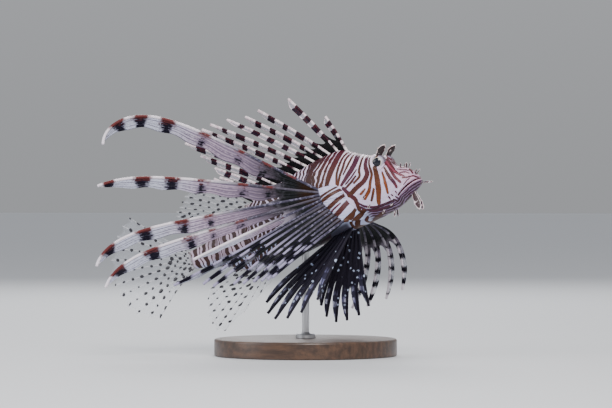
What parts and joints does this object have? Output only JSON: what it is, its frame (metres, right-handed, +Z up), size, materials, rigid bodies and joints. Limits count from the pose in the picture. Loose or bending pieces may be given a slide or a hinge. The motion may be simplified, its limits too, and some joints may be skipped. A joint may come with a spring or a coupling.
{
  "type": "red lionfish model on a stand",
  "caption": "Still, life-size red lionfish with fanned banded fins and long back spines, held on a round base by a rod.",
  "frame": {"origin": "centre of the stand's underside, on the surface that it stands on", "axes": "+Z up; +X ahead, the way the fish faces; +Y to the fish's left"},
  "size_m": [0.2428, 0.2466, 0.1802],
  "materials": {
    "striped_skin": "painted, satin, wavy red-brown bars on lilac white",
    "banded_fin": "painted, satin, dark bands on lilac white",
    "spotted_fin": "thin, pale and clear, with rows of dark spots",
    "dark_fin": "near black with pale spots",
    "eye": "glossy",
    "dark_wood": "stained, satin",
    "brushed_steel": "brushed"
  },
  "bodies": {
    "root": {"head": "striped_skin", "trunk": "striped_skin", "tail_stalk": "striped_skin", "pectoral_base_left": "striped_skin", "pectoral_base_right": "striped_skin", "tentacle_left": "striped_skin", "tentacle_right": "striped_skin", "pectoral_plumes_left": "banded_fin", "pectoral_plumes_right": "banded_fin", "pectoral_rays_left": "banded_fin", "pectoral_rays_right": "banded_fin", "dorsal_spines": "banded_fin", "dorsal_soft_fin": "spotted_fin", "anal_fin": "spotted_fin", "caudal_fin": "spotted_fin", "pelvic_fin_left": "dark_fin", "pelvic_fin_right": "dark_fin", "eye_left": "eye", "eye_right": "eye", "stand_base": "dark_wood", "stand_post": "brushed_steel"}
  },
  "joints": []
}
